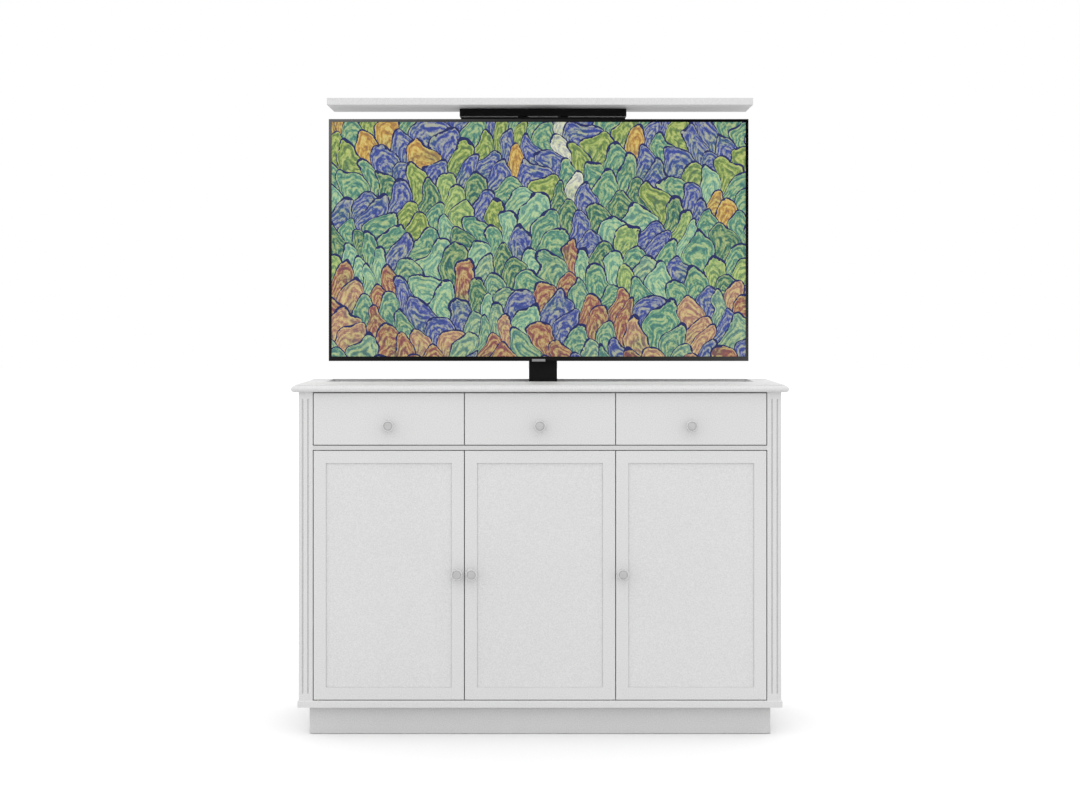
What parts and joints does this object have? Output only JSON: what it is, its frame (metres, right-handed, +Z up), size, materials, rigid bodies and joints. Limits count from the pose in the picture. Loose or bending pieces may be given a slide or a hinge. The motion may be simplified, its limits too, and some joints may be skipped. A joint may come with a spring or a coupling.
{
  "type": "tv lift cabinet",
  "caption": "Painted cabinet with drawers over doors; a motorised telescopic column raises a flat television and its lid out of a slot in the top.",
  "frame": {"origin": "on the floor under the centre of the top's footprint (knobs left aside)", "axes": "+X to the right as seen from the front, +Y from the drawers and doors to the wall side, +Z up"},
  "size_m": [1.3846, 0.459, 1.807],
  "materials": {
    "paint": "satin white paint on board",
    "carcase": "satin white-faced board",
    "drawer_wood": "satin lacquered birch",
    "knob_metal": "satin nickel",
    "pivot_brass": "satin",
    "nut_brass": "satin",
    "zinc": "satin zinc plate",
    "black_aluminium": "satin black anodised",
    "black_steel": "satin black powder coat",
    "motor_grey": "satin",
    "white_plastic": "matte",
    "grey_plastic": "matte",
    "rubber": "matte",
    "tv_black": "satin",
    "tv_cover": "matte textured",
    "screen": null
  },
  "bodies": {
    "cabinet": {"access_panel": "carcase", "back_panels": "carcase", "base_panel": "paint", "cabinet_runners": "zinc", "control_box": "grey_plastic", "dividers": "carcase", "door_catches": "white_plastic", "door_pivot_pins": "pivot_brass", "drawer_deck": "carcase", "drive_motor": "motor_grey", "fluted_posts": "paint", "levelling_feet": "grey_plastic", "lift_outer_tube": "black_aluminium", "lift_partition": "carcase", "outer_glide_pads": "white_plastic", "plinth": "paint", "runner_packers": "carcase", "shelf_pins": "zinc", "shelves": "carcase", "side_panels": "paint", "top_slab": "paint"},
    "drive_screw": {"drive_screw": "zinc"},
    "middle_stage": {"lift_middle_tube": "black_aluminium", "middle_glide_pads": "white_plastic", "drive_nut": "nut_brass"},
    "lift_carriage": {"lift_inner_tube": "black_aluminium", "inner_glide_pads": "white_plastic", "lift_head": "black_steel", "tv_bracket": "black_steel", "lid_support": "black_steel", "lid_buffers": "rubber", "lid_bracket": "black_steel", "lid": "paint", "tv_frame": "tv_black", "tv_screen": "screen", "tv_rear_cover": "tv_cover"},
    "left_door": {"left_door_frame": "paint", "left_door_panel": "paint", "left_door_fittings": "pivot_brass", "left_door_knob": "knob_metal"},
    "left_drawer": {"left_drawer_front": "paint", "left_drawer_box": "drawer_wood", "left_drawer_runners": "zinc", "left_drawer_knob": "knob_metal"},
    "centre_door": {"centre_door_frame": "paint", "centre_door_panel": "paint", "centre_door_fittings": "pivot_brass", "centre_door_knob": "knob_metal"},
    "centre_drawer": {"centre_drawer_front": "paint", "centre_drawer_box": "drawer_wood", "centre_drawer_runners": "zinc", "centre_drawer_knob": "knob_metal"},
    "right_door": {"right_door_frame": "paint", "right_door_panel": "paint", "right_door_fittings": "pivot_brass", "right_door_knob": "knob_metal"},
    "right_drawer": {"right_drawer_front": "paint", "right_drawer_box": "drawer_wood", "right_drawer_runners": "zinc", "right_drawer_knob": "knob_metal"}
  },
  "joints": [
    {"name": "lift_raise", "type": "slide", "parent": "cabinet", "child": "lift_carriage", "axis": [0, 0, 1], "range_m": [-0.827, 0]},
    {"name": "middle_stage_slide", "type": "slide", "parent": "cabinet", "child": "middle_stage", "axis": [0, 0, 1], "range_m": [-0.4135, 0]},
    {"name": "screw_turn", "type": "hinge", "parent": "cabinet", "child": "drive_screw", "pos_m": [0.009, 0.154, 0.15], "axis": [0, 0, 1], "range_deg": [-7450, 0]},
    {"name": "left_door_hinge", "type": "hinge", "parent": "cabinet", "child": "left_door", "pos_m": [-0.61965, -0.199, 0.1014], "axis": [0, 0, -1], "range_deg": [0, 110]},
    {"name": "centre_door_hinge", "type": "hinge", "parent": "cabinet", "child": "centre_door", "pos_m": [0.19775, -0.199, 0.1014], "axis": [0, 0, 1], "range_deg": [0, 95]},
    {"name": "right_door_hinge", "type": "hinge", "parent": "cabinet", "child": "right_door", "pos_m": [0.61965, -0.199, 0.1014], "axis": [0, 0, 1], "range_deg": [0, 110]},
    {"name": "left_drawer_slide", "type": "slide", "parent": "cabinet", "child": "left_drawer", "axis": [0, -1, 0], "range_m": [0, 0.13]},
    {"name": "centre_drawer_slide", "type": "slide", "parent": "cabinet", "child": "centre_drawer", "axis": [0, -1, 0], "range_m": [0, 0.13]},
    {"name": "right_drawer_slide", "type": "slide", "parent": "cabinet", "child": "right_drawer", "axis": [0, -1, 0], "range_m": [0, 0.13]}
  ],
  "couplings": [
    {"joint": "middle_stage_slide", "follows": "lift_raise", "ratio": 0.5},
    {"joint": "screw_turn", "follows": "lift_raise", "rad_per_m": 157.08}
  ]
}
